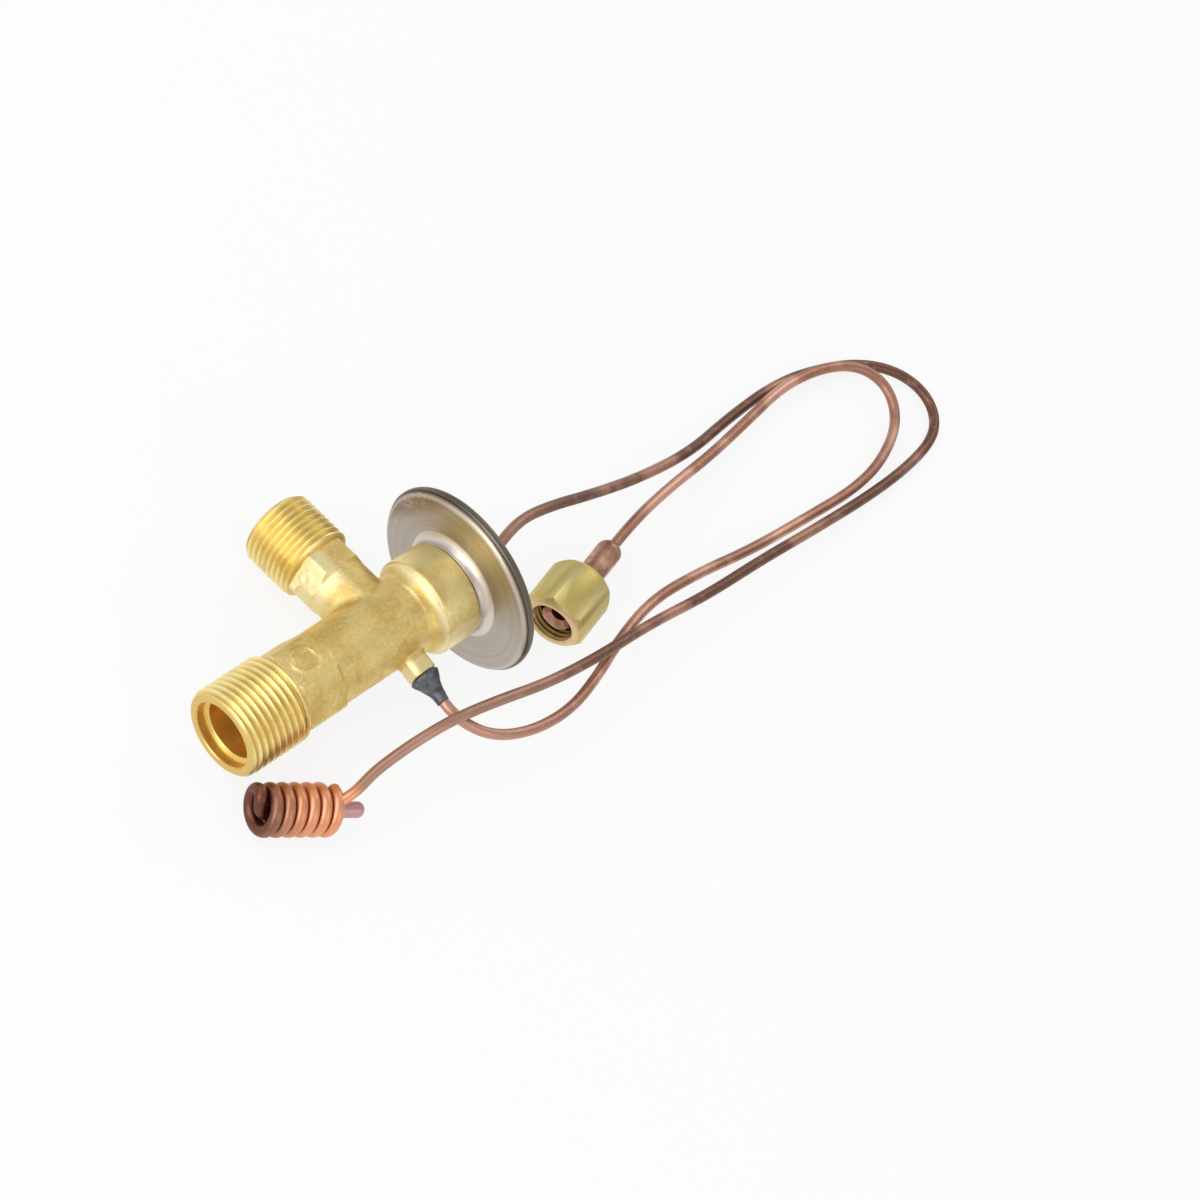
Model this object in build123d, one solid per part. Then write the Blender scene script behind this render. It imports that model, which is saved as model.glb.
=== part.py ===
"""Angle expansion valve with a charge capillary coil and an equaliser line, laid down at rest.

The valve is modelled upright in its own frame: the valve axis is X, running from the outlet
mouth (x = 0) to the diaphragm case, and the inlet branch points along +Y. REST then lays the
finished pieces down on the floor, z = 0. Millimetres throughout.
"""
import math
import os

from build123d import *

# How far cutting tools and stock overlap beyond the faces they cut or join
CLEAR = 1.0

# Outlet end
OUTLET_R = 11.1
OUTLET_CHAMFER = 1.2
OUTLET_LIP_R = 10.3
OUTLET_LIP_START = 0.3
OUTLET_LIP_ROUND = 0.6
OUTLET_THREAD_END = 16.6
OUTLET_RUN_OUT = 1.4
MOUTH_R = 8.3
MOUTH_DEPTH = 2.7
OUTLET_BORE_R = 7.3

# Wrench hexagons and the forged barrel
OUTLET_HEX_AF = 19.0
OUTLET_HEX_START = 17.3
OUTLET_HEX_END = 29.2
HEX_BEVEL = 0.7
CORNER_CLEAR = 0.1
BARREL_R = 9.45
SHOULDER_START = 55.9
SHOULDER_STEP = 0.35
SHOULDER_END = 59.3
BEAD_R = 11.4
BEAD_WIDTH = 0.4
HEAD_R = 12.0
HEAD_CHAMFER = 0.3
HEAD_END = 68.4
SPIGOT_R = 9.55
SPIGOT_END = 70.6
MARK_X = 23.5
MARK_R = 3.5
MARK_WIDTH = 0.55
MARK_HEIGHT = 0.25

# Inlet branch
BRANCH_X = 48.9
BRANCH_END = 36.8
BRANCH_R = 9.5
BRANCH_LIP_R = 8.5
BRANCH_THREAD_START = 22.3
BRANCH_RUN_OUT = 1.1
BRANCH_HEX_AF = 15.88
BRANCH_HEX_START = 15.2
BRANCH_HEX_BEVEL = 0.6
BRANCH_TRIM_END = 19.8
BRANCH_TRIM = 0.1
NECK_R = 7.8
SMALL_MARK_AT = 19.1
SMALL_MARK_R = 1.5
SMALL_MARK_WIDTH = 0.4
SMALL_MARK_HEIGHT = 0.2
SMALL_MARK_TURN = 210
INLET_MOUTH_R = 7.2
INLET_MOUTH_DEPTH = 2.5
INLET_BORE_R = 6.2
INLET_BORE_BOTTOM = 12.0
INLET_PORT_R = 4.6

# Equaliser boss, square with rounded corners
BOSS_X = 50.2
BOSS_TURN = 15.0
BOSS_SIDE = 6.3
BOSS_CORNER = 1.9
BOSS_ROOT = 4.0
BOSS_END = 13.9
BOSS_CHAMFER = 0.25
BOSS_DRILLING_R = 1.0
BOSS_DRILLING_START = 6.4
COLLAR_WIDEST_R = 3.75
COLLAR_END = 21.5

# Cavities in the body
SEAT_FACE = 38.5
SEAT_R = 5.0
SEAT_END = 43.5
CHAMBER_END = 54.0
GUIDE_END = 57.0
HEAD_CHAMBER_START = 60.0
HEAD_CHAMBER_R = 7.6
SEAL_POCKET_R = 2.6
PRESSURE_PORT_R = 0.7
PRESSURE_PORT_OFFSET = 6.8

# Valve train
ORIFICE_R = 2.2
SEAT_BEVEL = 0.5
BALL_R = 2.6
BALL_X = 37.6
ROD_R = 1.2
ROD_CLEARANCE = 0.05
ROD_END = 70.6
FITTED = 0.03
TOUCHING = 0.02
CUP_PILOT_R = 3.4
CUP_PILOT_LENGTH = 3.2
CUP_FLANGE_R = 5.9
CUP_FLANGE_WIDTH = 1.4
CUP_RIM = 0.9
CUP_SPRING_FACE = 33.6
ADJUSTER_INNER = 12.5
ADJUSTER_OUTER = 19.0
ADJUSTER_CLEARANCE = 0.05
SLOT_WIDTH = 3.0
SLOT_DEPTH = 1.6
SLOT_MIDDLE_R = 6.9
KEY_AF = 7.0
SPRING_R = 4.7
WIRE_R = 0.5
SPRING_PITCH = 2.6
SPRING_GAP = 0.05
PAD_R = 9.2
PAD_HUB_R = 3.0
PAD_START = 68.6
PAD_FACE = 71.5
RETAINER_START = 58.4

# Strainer in the branch
STRAINER_START = 12.6
STRAINER_END = 30.0
STRAINER_TIP_R = 2.8
STRAINER_MOUTH_R = 5.5
STRAINER_WALL = 0.3
STRAINER_FLANGE = 0.4
STRAINER_RING_R = 4.9
STRAINER_RING_END = 32.4

# Diaphragm case
CASE_R = 23.5
SEAM_X = 72.4
CLAMP_R = 20.6
DIAPHRAGM_T = 0.15
WAVE_START = 10.5
WAVE_SPAN = 9.0
WAVE_HEIGHT = 0.25
WAVES = 3
WAVE_STEPS = 12
RIM_START = 0.35
SHEET = 0.9
GASKET = 0.3
HUB_R = 11.6
HUB_FLARE_R = 13.6
FLAT_START = 71.0
FLAT_END = 71.25
FLAT_END_R = 21.0
CROWN_FOOT_R = 13.0
CROWN_TOP_R = 10.2
CROWN_RISE = 4.6
NIPPLE_R = 2.4
NIPPLE_END = 78.6

# Lines, flare nut and coil
LINE_R = 1.3
STUB_R = 3.175
STUB_WALL = 0.75
STUB_LENGTH = 28.6
STUB_SWAGE = 2.6
FLARE_R = 3.9
NUT_AF = 14.3
NUT_LENGTH = 16.0
NUT_THREAD_R = 5.0
NUT_THREAD_END = 5.0
NUT_RELIEF = 0.4
NUT_CONE_START = 8.8
NUT_CONE_END = 11.0
NUT_TILT = 6.0
NUT_HEADING = 14.9
NUT_FRONT = (61.0, -25.1)
COIL_R = 6.35
COIL_ROUND = 1.2
COIL_LENGTH = 21.5
COIL_CENTRE = (-31.2, -29.3)
COIL_HEADING = -28.1
TIP_R = 1.9
TIP_LENGTH = 5.4

# The base of the bounding box is centred on the origin
ORIGIN_SHIFT = (-38.5, -7.2)

# Middle line of the capillary from the diaphragm case to the coil
CHARGE_ROUTE = [
    (38.95, -7.20, 24.13), (42.90, -7.20, 24.81), (49.0, -4.9, 25.9), (57.5, -3.2, 26.0),
    (69.0, -4.0, 24.0), (85.0, -6.0, 19.3), (106.5, -7.6, 12.4), (129.5, -7.9, 6.6),
    (151.5, -5.0, 2.2), (171.5, -3.9, 1.4), (186.5, -6.6, 1.35), (198.0, -10.6, 1.4),
    (206.2, -16.8, 1.4), (209.7, -24.2, 1.45), (208.3, -31.2, 1.5), (202.6, -36.2, 1.6),
    (190.9, -38.7, 1.9), (173.5, -39.9, 3.1),
    (149.5, -39.8, 5.2), (125.5, -39.3, 7.8), (102.5, -39.6, 10.6), (79.5, -38.4, 14.0),
    (58.5, -38.8, 17.6), (38.5, -38.0, 21.0), (21.0, -35.4, 23.2), (8.0, -33.6, 23.3),
    (-2.6, -32.8, 20.2), (-12.6, -32.8, 15.2), (-21.7, -34.3, 11.4),
]
# Middle line of the equaliser capillary from its collar to the flare stub
EQUALISER_ROUTE = [
    (10.88, -28.69, 19.84), (10.87, -31.79, 19.92), (12.6, -35.8, 19.6), (16.3, -40.0, 18.9),
    (22.9, -43.2, 17.8), (32.9, -45.1, 16.2), (44.7, -45.0, 14.5), (57.0, -42.2, 13.0),
    (71.5, -37.2, 11.7), (88.5, -33.4, 9.6), (108.5, -33.6, 6.4), (129.5, -35.4, 3.4),
    (151.5, -35.9, 1.8), (169.5, -36.4, 1.5), (182.6, -34.4, 2.2), (194.0, -28.6, 3.4),
    (198.4, -19.8, 4.2), (194.6, -11.6, 4.6), (184.0, -7.0, 4.6), (169.0, -5.8, 4.6),
    (151.5, -8.6, 5.0), (132.5, -11.4, 7.6), (114.5, -13.0, 10.8), (98.10, -15.23, 11.15),
    (88.49, -17.79, 10.10),
]


def resting_pose():
    """Tilt and roll that put the outlet thread, the case rim and the branch end on the floor."""
    rise = CASE_R - OUTLET_R
    run = SEAM_X + DIAPHRAGM_T + RIM_START - OUTLET_CHAMFER
    tilt = math.atan2(rise, run)
    height = OUTLET_R * math.cos(tilt) - OUTLET_CHAMFER * math.sin(tilt)
    reach = BRANCH_END - OUTLET_CHAMFER
    drop = height + BRANCH_X * math.sin(tilt)
    dip = math.atan2(BRANCH_R, reach) - math.asin(drop / math.hypot(reach, BRANCH_R))
    roll = math.asin(math.sin(dip) / math.cos(tilt))
    return math.degrees(tilt), math.degrees(roll), height


TILT, ROLL, AXIS_HEIGHT = resting_pose()
REST = Pos(*ORIGIN_SHIFT, AXIS_HEIGHT) * Rot(0, -TILT, 0) * Rot(ROLL, 0, 0)
BRANCH = Pos(BRANCH_X, 0, 0) * Rot(-90, 0, 0)
BOSS = Pos(BOSS_X, 0, 0) * Rot(90 + BOSS_TURN, 0, 0)


def turned(profile):
    """Solid of revolution about X from a closed profile in (x, radius)."""
    return revolve(make_face(profile), Axis.X)


def turned_points(*points):
    return turned(Polyline(*points, close=True))


def rod(radius, start, end):
    """Round bar along X."""
    return turned_points((start, 0), (end, 0), (end, radius), (start, radius))


def ring(outer, inner, start, end):
    return turned_points((start, inner), (end, inner), (end, outer), (start, outer))


def upright_rod(radius, start, end):
    """Round bar along Z, used in the branch, boss and nut frames."""
    return Pos(0, 0, (start + end) / 2) * Cylinder(radius, end - start)


def hexagon(across_flats, start, end):
    """Hexagonal bar along X with two flats square to Z and both ends chamfered."""
    corner = across_flats / math.sqrt(3)
    flat = across_flats / 2
    section = RegularPolygon(corner, 6, rotation=30)
    bar = Pos(start, 0, 0) * Rot(0, 90, 0) * extrude(section, end - start)
    outside = corner + CORNER_CLEAR
    envelope = turned_points(
        (start, 0), (end, 0), (end, flat), (end - HEX_BEVEL, outside), (start + HEX_BEVEL, outside),
        (start, flat),
    )
    return bar & envelope


def outlet_end():
    """Lipped mouth, plain thread cylinder and run-out."""
    core = BARREL_R - 0.1
    lip_edge = (OUTLET_LIP_START, OUTLET_LIP_R)
    lip_middle = (0.08, OUTLET_LIP_R - 0.45 * OUTLET_LIP_ROUND)
    lip_face = (0, OUTLET_LIP_R - OUTLET_LIP_ROUND)
    outside = Polyline(
        (0, 0), (OUTLET_HEX_END, 0), (OUTLET_HEX_END, core), (OUTLET_THREAD_END + OUTLET_RUN_OUT, core),
        (OUTLET_THREAD_END, OUTLET_R), (OUTLET_CHAMFER, OUTLET_R), lip_edge,
    )
    return turned(outside + ThreePointArc(lip_edge, lip_middle, lip_face) + Line(lip_face, (0, 0)))


def barrel_and_head():
    """Forged barrel, concave shoulder with its bead, and the turned head with its spigot."""
    foot = (SHOULDER_START, BARREL_R + SHOULDER_STEP)
    hollow = (SHOULDER_START + 1.5, BARREL_R + 0.8)
    bead = (SHOULDER_END - 2 * BEAD_WIDTH, BEAD_R)
    start = OUTLET_HEX_END - CLEAR
    barrel = Polyline((start, 0), (start, BARREL_R), (SHOULDER_START - SHOULDER_STEP, BARREL_R), foot)
    head = Polyline(
        bead, (SHOULDER_END - BEAD_WIDTH, BEAD_R), (SHOULDER_END, HEAD_R), (HEAD_END - HEAD_CHAMFER, HEAD_R),
        (HEAD_END, HEAD_R - HEAD_CHAMFER), (HEAD_END, SPIGOT_R), (SPIGOT_END, SPIGOT_R), (SPIGOT_END, 0),
        (start, 0),
    )
    return turned(barrel + ThreePointArc(foot, hollow, bead) + head)


def turned_upright(*points):
    """Solid of revolution about Z from closed points in (radius, z)."""
    return revolve(make_face(Polyline(*points, close=True).moved(Rot(90, 0, 0))), Axis.Z)


def branch_hexagon():
    """Wrench flats of the branch; the inner part is trimmed level with the neck's sides."""
    corner = BRANCH_HEX_AF / math.sqrt(3)
    half = BRANCH_HEX_AF / 2
    outside = corner + CORNER_CLEAR
    wide = 3 * BRANCH_HEX_AF
    bar = extrude(RegularPolygon(corner, 6), BRANCH_THREAD_START - BRANCH_HEX_START)
    envelope = turned_upright(
        (0, BRANCH_HEX_START), (half - 0.2, BRANCH_HEX_START), (outside, BRANCH_HEX_START + BRANCH_HEX_BEVEL),
        (outside, BRANCH_THREAD_START - BRANCH_HEX_BEVEL), (half, BRANCH_THREAD_START),
        (0, BRANCH_THREAD_START),
    )
    trimmed = Pos(0, 0, BRANCH_HEX_START - CLEAR) * extrude(
        Rectangle(BRANCH_HEX_AF + 2 * BRANCH_TRIM, wide), BRANCH_TRIM_END - BRANCH_HEX_START + CLEAR
    )
    full = Pos(0, 0, BRANCH_TRIM_END) * extrude(Rectangle(wide, wide), BRANCH_THREAD_START - BRANCH_TRIM_END)
    return Pos(0, 0, BRANCH_HEX_START) * bar & envelope & (trimmed + full)


def raised_ring(radius, width, height):
    """Ring mark standing out of the XY plane by its height."""
    return Cylinder(radius, 2 * height) - Cylinder(radius - width, 4 * height)


def inlet_branch():
    """Neck, hexagon and plain thread cylinder of the branch, along +Z of the branch frame."""
    neck = upright_rod(NECK_R, 0, BRANCH_THREAD_START)
    root = BRANCH_THREAD_START - 0.2
    thread = turned_upright(
        (0, root), (NECK_R, root), (BRANCH_R, root + BRANCH_RUN_OUT),
        (BRANCH_R, BRANCH_END - OUTLET_CHAMFER), (BRANCH_LIP_R, BRANCH_END), (0, BRANCH_END),
    )
    face = Rot(0, 0, SMALL_MARK_TURN) * Pos(BRANCH_HEX_AF / 2, 0, SMALL_MARK_AT) * Rot(0, 90, 0)
    mark = face * raised_ring(SMALL_MARK_R, SMALL_MARK_WIDTH, SMALL_MARK_HEIGHT)
    return neck + branch_hexagon() + mark + thread


def equaliser_boss():
    """Square boss with rounded corners, along +Z of the boss frame."""
    section = RectangleRounded(BOSS_SIDE, BOSS_SIDE, BOSS_CORNER)
    block = Pos(0, 0, BOSS_ROOT) * extrude(section, BOSS_END - BOSS_ROOT)
    return chamfer(block.faces().sort_by(Axis.Z)[-1].edges(), BOSS_CHAMFER)


def body_cavities():
    """Outlet bore, seat pocket, inlet chamber, rod guide, seal pocket, head chamber and drillings."""
    cuts = rod(MOUTH_R, -CLEAR, MOUTH_DEPTH)
    cuts += rod(OUTLET_BORE_R, 0, SEAT_FACE)
    cuts += rod(SEAT_R, SEAT_FACE - CLEAR, CHAMBER_END)
    cuts += rod(ROD_R + ROD_CLEARANCE, CHAMBER_END - CLEAR, HEAD_CHAMBER_START)
    cuts += rod(SEAL_POCKET_R, GUIDE_END, HEAD_CHAMBER_START + CLEAR)
    cuts += rod(HEAD_CHAMBER_R, HEAD_CHAMBER_START, SPIGOT_END + CLEAR)
    cuts += BRANCH * upright_rod(INLET_MOUTH_R, BRANCH_END - INLET_MOUTH_DEPTH, BRANCH_END + CLEAR)
    cuts += BRANCH * upright_rod(INLET_BORE_R, INLET_BORE_BOTTOM, BRANCH_END)
    cuts += BRANCH * upright_rod(INLET_PORT_R, 0, INLET_BORE_BOTTOM)
    cuts += BOSS * upright_rod(BOSS_DRILLING_R, BOSS_DRILLING_START, BOSS_END + CLEAR)
    port = Rot(90 + BOSS_TURN, 0, 0) * Pos(0, 0, PRESSURE_PORT_OFFSET)
    cuts += port * rod(PRESSURE_PORT_R, BOSS_X, HEAD_CHAMBER_START + CLEAR / 2)
    return cuts


def valve_body():
    """The whole forging: stock of every part joined first, then all its cavities cut."""
    shell = outlet_end() + hexagon(OUTLET_HEX_AF, OUTLET_HEX_START, OUTLET_HEX_END) + barrel_and_head()
    shell += BRANCH * inlet_branch()
    shell += BOSS * equaliser_boss()
    mark = Pos(MARK_X, 0, OUTLET_HEX_AF / 2) * raised_ring(MARK_R, MARK_WIDTH, MARK_HEIGHT)
    return shell + mark - body_cavities()


def lower_shell():
    """Stainless cup: collar on the spigot, flared hub, flat annulus and rolled edge."""
    base = HEAD_END + GASKET
    foot = (base + 0.2, HUB_R)
    flat = (FLAT_START, HUB_FLARE_R)
    edge = (FLAT_END, FLAT_END_R)
    rim = (SEAM_X - 0.1, CASE_R - 0.35)
    inner_r = SPIGOT_R + FITTED
    outline = Polyline((base, inner_r), (base, HUB_R - 0.2), foot)
    outline += ThreePointArc(foot, (base + 1.5, HUB_R + 0.6), flat) + Line(flat, edge)
    outline += ThreePointArc(edge, (FLAT_END + 0.35, FLAT_END_R + 1.5), rim)
    outline += Polyline(
        rim, (SEAM_X, CASE_R - 0.45), (SEAM_X, CLAMP_R), (FLAT_END + SHEET, CLAMP_R - 0.6),
        (FLAT_START + SHEET, HUB_R + 0.4), (FLAT_START + SHEET, inner_r), (base, inner_r),
    )
    return turned(outline)


def diaphragm():
    """Thin corrugated disc clamped between the two halves of the case."""
    def wave_height(radius):
        if radius < WAVE_START or radius > WAVE_START + WAVE_SPAN:
            return 0.0
        return WAVE_HEIGHT * math.sin((radius - WAVE_START) / WAVE_SPAN * WAVES * 2 * math.pi)

    waves = [WAVE_START + WAVE_SPAN / WAVE_STEPS * step for step in range(WAVE_STEPS + 1)]
    stations = [0, WAVE_START - 1] + waves + [CLAMP_R - 0.1, CASE_R - 0.6]
    below = [(SEAM_X + wave_height(r), r) for r in stations]
    above = [(x + DIAPHRAGM_T, r) for x, r in reversed(below)]
    return turned_points(*below, *above)


def upper_shell():
    """Stainless cover: rolled rim, flat annulus, raised crown and the nipple for the capillary."""
    start = SEAM_X + DIAPHRAGM_T
    edge = (start + 1.1, CASE_R)
    shoulder = (start + 2.2, CASE_R - 1.5)
    crown_foot = (start + 2.5, CROWN_FOOT_R)
    crown_top = (start + CROWN_RISE, CROWN_TOP_R)
    bore = LINE_R / 2
    outline = Polyline((start, CLAMP_R), (start, CASE_R - 0.3), (start + RIM_START, CASE_R), edge)
    outline += ThreePointArc(edge, (start + 1.9, CASE_R - 0.45), shoulder) + Line(shoulder, crown_foot)
    outline += ThreePointArc(crown_foot, (start + 3.5, (CROWN_FOOT_R + CROWN_TOP_R) / 2), crown_top)
    outline += Polyline(
        crown_top, (start + 4.9, NIPPLE_R + 0.8), (NIPPLE_END - 0.3, NIPPLE_R), (NIPPLE_END, NIPPLE_R - 0.3),
        (NIPPLE_END, bore), (start + 4.0, bore), (start + 3.7, CROWN_TOP_R - 0.6), (start + 1.5, CROWN_FOOT_R),
        (start + 1.3, CLAMP_R - 0.6), (start, CLAMP_R),
    )
    return turned(outline)


def head_gasket():
    return ring(HEAD_R - 0.5, SPIGOT_R + FITTED, HEAD_END, HEAD_END + GASKET)


def diaphragm_pad():
    """Pressed pad that carries the middle of the diaphragm and pushes on the rod."""
    chamfer_width = 0.2
    socket_r = ROD_R + FITTED
    return turned_points(
        (PAD_START, socket_r), (PAD_START, PAD_HUB_R), (PAD_FACE - 0.3, PAD_HUB_R), (PAD_FACE, PAD_HUB_R + 0.6),
        (PAD_FACE, PAD_R - 0.4), (PAD_FACE + 0.3, PAD_R), (SEAM_X - chamfer_width, PAD_R),
        (SEAM_X, PAD_R - chamfer_width), (SEAM_X, 0), (ROD_END, 0), (ROD_END, socket_r),
    )


def push_rod():
    tip = BALL_X + BALL_R + TOUCHING
    bar = rod(ROD_R, tip, ROD_END)
    return chamfer(bar.edges().filter_by(GeomType.CIRCLE), 0.2)


def rod_seal():
    section = (SEAL_POCKET_R - ROD_R) / 2 - TOUCHING
    middle = (SEAL_POCKET_R + ROD_R) / 2
    return Pos(GUIDE_END + section, 0, 0) * Rot(0, 90, 0) * Torus(middle, section)


def seal_retainer():
    return ring(SEAL_POCKET_R, ROD_R + ROD_CLEARANCE, RETAINER_START, HEAD_CHAMBER_START)


def seat_insert():
    """Orifice ring with a bevelled seat for the ball."""
    return turned_points(
        (SEAT_FACE, ORIFICE_R + SEAT_BEVEL), (SEAT_FACE + SEAT_BEVEL, ORIFICE_R), (SEAT_END - 1, ORIFICE_R),
        (SEAT_END, ORIFICE_R + 1.2), (SEAT_END, SEAT_R - 0.2), (SEAT_END - 0.2, SEAT_R), (SEAT_FACE, SEAT_R),
    )


def ball():
    return Pos(BALL_X, 0, 0) * Sphere(BALL_R)


def ball_cup():
    """Flanged carrier with a spherical pocket for the ball and a pilot inside the spring."""
    bevel = 0.4
    pilot_end = CUP_SPRING_FACE - CUP_PILOT_LENGTH
    flange_end = CUP_SPRING_FACE + CUP_FLANGE_WIDTH
    rim = BALL_X - CUP_RIM
    blank = turned_points(
        (pilot_end, 0), (pilot_end, CUP_PILOT_R - bevel), (pilot_end + bevel, CUP_PILOT_R),
        (CUP_SPRING_FACE, CUP_PILOT_R), (CUP_SPRING_FACE, CUP_FLANGE_R), (flange_end, CUP_FLANGE_R),
        (flange_end + bevel, CUP_PILOT_R + 0.8), (rim, CUP_PILOT_R), (rim, 0),
    )
    return blank - Pos(BALL_X, 0, 0) * Sphere(BALL_R + TOUCHING)


def spring():
    """Superheat spring: an open coil between the cup and the adjusting nut."""
    length = CUP_SPRING_FACE - ADJUSTER_OUTER - 2 * WIRE_R - 2 * SPRING_GAP
    path = Helix(SPRING_PITCH, length, SPRING_R)
    profile = Plane(origin=path @ 0, z_dir=path % 0) * Circle(WIRE_R)
    wire = sweep(profile, path, is_frenet=True)
    return Pos(ADJUSTER_OUTER + WIRE_R + SPRING_GAP, 0, 0) * Rot(0, 90, 0) * wire


def adjusting_nut():
    """Round nut in the outlet bore with a hexagon socket and four flow slots."""
    cut_length = ADJUSTER_OUTER - ADJUSTER_INNER + 2 * CLEAR
    key = RegularPolygon(KEY_AF / math.sqrt(3), 6)
    nut = rod(OUTLET_BORE_R - ADJUSTER_CLEARANCE, ADJUSTER_INNER, ADJUSTER_OUTER)
    nut -= Pos(ADJUSTER_INNER - CLEAR, 0, 0) * Rot(0, 90, 0) * extrude(key, cut_length)
    middle = (ADJUSTER_INNER + ADJUSTER_OUTER) / 2
    slot = Pos(middle, SLOT_MIDDLE_R, 0) * Box(cut_length, SLOT_DEPTH, SLOT_WIDTH)
    for quarter in range(4):
        nut -= Rot(90 * quarter, 0, 0) * slot
    return nut


def inlet_strainer():
    """Conical mesh cup in the branch, closed at its narrow inner end."""
    flange_r = INLET_BORE_R - 0.05
    flange_start = STRAINER_END - STRAINER_FLANGE
    floor = STRAINER_START + STRAINER_WALL
    return turned_upright(
        (0, STRAINER_START), (STRAINER_TIP_R, STRAINER_START), (STRAINER_MOUTH_R, flange_start),
        (flange_r, flange_start), (flange_r, STRAINER_END), (STRAINER_MOUTH_R - STRAINER_WALL, STRAINER_END),
        (STRAINER_TIP_R - STRAINER_WALL, floor), (0, floor),
    )


def strainer_ring():
    """Pressed ring that holds the strainer's flange, with its outer edges broken."""
    bore = upright_rod(STRAINER_RING_R, STRAINER_END - CLEAR, STRAINER_RING_END + CLEAR)
    band = upright_rod(INLET_BORE_R - TOUCHING, STRAINER_END, STRAINER_RING_END) - bore
    return chamfer(band.edges().filter_by(GeomType.CIRCLE).sort_by(Axis.Z)[-2:], 0.3)


def solder_collar():
    """Flared solder joint that carries the equaliser capillary out of the boss."""
    hollow = LINE_R + 0.25
    bulge = (3.5, BOSS_END + 1.1)
    foot = Polyline((0, BOSS_END), (3.2, BOSS_END), (COLLAR_WIDEST_R, BOSS_END + 0.35), bulge)
    side = ThreePointArc(bulge, (2.15, BOSS_END + 3.8), (hollow, COLLAR_END))
    outline = foot + side + Polyline((hollow, COLLAR_END), (0, COLLAR_END), (0, BOSS_END))
    return revolve(make_face(outline.moved(Rot(90, 0, 0))), Axis.Z)


def line_tube(name, route, start, end):
    """Solid capillary along straight runs joined by tangent arcs as large as the runs allow."""
    points = [Vector(*start)] + [Vector(*p) for p in route[1:-1]] + [Vector(*end)]
    runs = [b - a for a, b in zip(points, points[1:])]
    radii = []
    for before, after in zip(runs, runs[1:]):
        half_turn = math.radians(before.get_angle(after)) / 2
        radii.append(0.45 * min(before.length, after.length) / math.tan(half_turn))
    path = FilletPolyline(*points, radius=radii)
    plane = Plane(origin=points[0], z_dir=runs[0])
    tube = sweep(plane * Circle(LINE_R), path)
    print(name, "radii", [round(r, 1) for r in radii], "runs", [round(r.length, 1) for r in runs])
    print(name, "length", round(path.length, 1), "volume", round(tube.volume, 1),
          "section x length", round(math.pi * LINE_R**2 * path.length, 1))
    return tube


NUT_DROP = (NUT_AF / 2) * math.cos(math.radians(NUT_TILT))
NUT_FRAME = Pos(*NUT_FRONT, NUT_DROP) * Rot(0, 0, NUT_HEADING) * Rot(0, -NUT_TILT, 0)
COIL_FRAME = Pos(*COIL_CENTRE, COIL_R) * Rot(0, 0, COIL_HEADING)


def flare_nut():
    """Short flare nut: hexagon with both ends rounded off, thread bore and a cone for the flare."""
    corner = NUT_AF / math.sqrt(3)
    flat = NUT_AF / 2
    outside = corner + CORNER_CLEAR
    bar = Rot(0, 90, 0) * extrude(RegularPolygon(corner, 6, rotation=30), NUT_LENGTH)
    front = Polyline((0, 0), (0, flat - 0.9), (0.35, flat - 0.4), (1.7, outside), (NUT_LENGTH - 2.6, outside))
    nose = (NUT_LENGTH - 0.3, flat - 1.4)
    back = ThreePointArc((NUT_LENGTH - 2.6, outside), (NUT_LENGTH - 1.2, flat + 0.2), nose)
    end_face = Polyline(nose, (NUT_LENGTH, flat - 2.0), (NUT_LENGTH, 0), (0, 0))
    relief_r = NUT_THREAD_R + NUT_RELIEF
    tube_r = STUB_R + 0.05
    bore = turned_points(
        (-1, 0), (-1, NUT_THREAD_R + 1.8), (0.8, NUT_THREAD_R), (NUT_THREAD_END, NUT_THREAD_R),
        (NUT_THREAD_END + NUT_RELIEF, relief_r), (NUT_CONE_START, relief_r), (NUT_CONE_END, tube_r),
        (NUT_LENGTH + CLEAR, tube_r), (NUT_LENGTH + CLEAR, 0),
    )
    return (bar & turned(front + back + end_face)) - bore


def flare_stub():
    """Copper tube end: flared inside the nut, swaged down onto the capillary at its other end."""
    swage = (STUB_LENGTH - STUB_SWAGE, STUB_R)
    end = (STUB_LENGTH, LINE_R + 0.5)
    inner_r = STUB_R - STUB_WALL
    floor = STUB_LENGTH - 3.2
    outline = Polyline((5.9, inner_r), (5.3, FLARE_R - 0.35), (5.6, FLARE_R), (7.5, STUB_R), swage)
    outline += ThreePointArc(swage, (STUB_LENGTH - 0.9, STUB_R - 0.45), end)
    outline += Polyline(end, (STUB_LENGTH, 0), (floor, 0), (floor, inner_r), (5.9, inner_r))
    return turned(outline)


def coil():
    """Outer shape of the close-wound coil at the end of the charge capillary."""
    drum = Rot(0, 90, 0) * Cylinder(COIL_R, COIL_LENGTH)
    return fillet(drum.edges().filter_by(GeomType.CIRCLE), COIL_ROUND)


def coil_tip():
    """Rounded, sealed end of the tube where it leaves the middle of the coil."""
    tip = rod(TIP_R, COIL_LENGTH / 2, COIL_LENGTH / 2 + TIP_LENGTH)
    return fillet(tip.edges().filter_by(GeomType.CIRCLE).sort_by(Axis.X)[-1], TIP_R - 0.25)


def world_point(frame, *local):
    return (frame * Pos(*local)).position


def lie_down(shape):
    return REST * shape


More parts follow.
